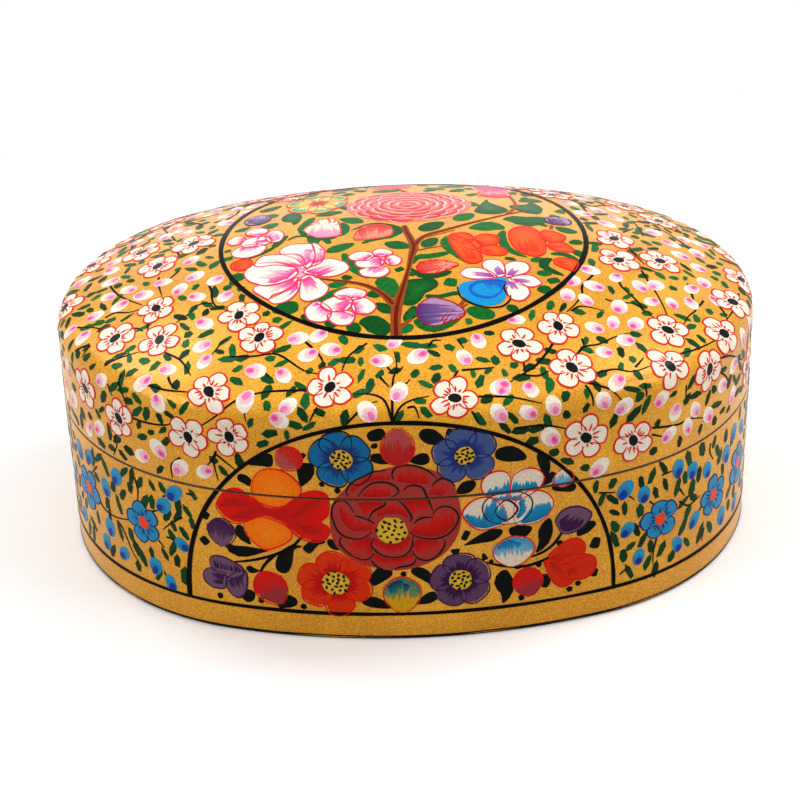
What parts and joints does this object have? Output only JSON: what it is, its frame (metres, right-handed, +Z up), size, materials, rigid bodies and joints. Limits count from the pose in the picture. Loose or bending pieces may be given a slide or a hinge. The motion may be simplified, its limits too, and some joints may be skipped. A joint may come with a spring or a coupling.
{
  "type": "papier mache box",
  "caption": "Oval papier mache box with a domed lift-off lid that drops over a collar in the base, painted all over with flowers on gold.",
  "frame": {"origin": "middle of the foot, on the surface that the box stands on", "axes": "+X along the length towards the right-hand end, +Y from the front with the arched panel to the back, +Z up"},
  "size_m": [0.2, 0.15, 0.09],
  "materials": {
    "painted_ground": "gloss",
    "black_lacquer": "gloss",
    "flower_paint": "gloss",
    "leaf_paint": "gloss",
    "line_paint": "gloss"
  },
  "bodies": {
    "base": {"base_wall": "painted_ground", "base_floor": "black_lacquer", "locating_collar": "black_lacquer"},
    "lid": {"lid_wall": "painted_ground", "lid_crown": "painted_ground"}
  },
  "joints": [
    {"name": "lid_lift", "type": "slide", "parent": "base", "child": "lid", "axis": [0, 0, 1], "range_m": [0, 0.1]}
  ]
}
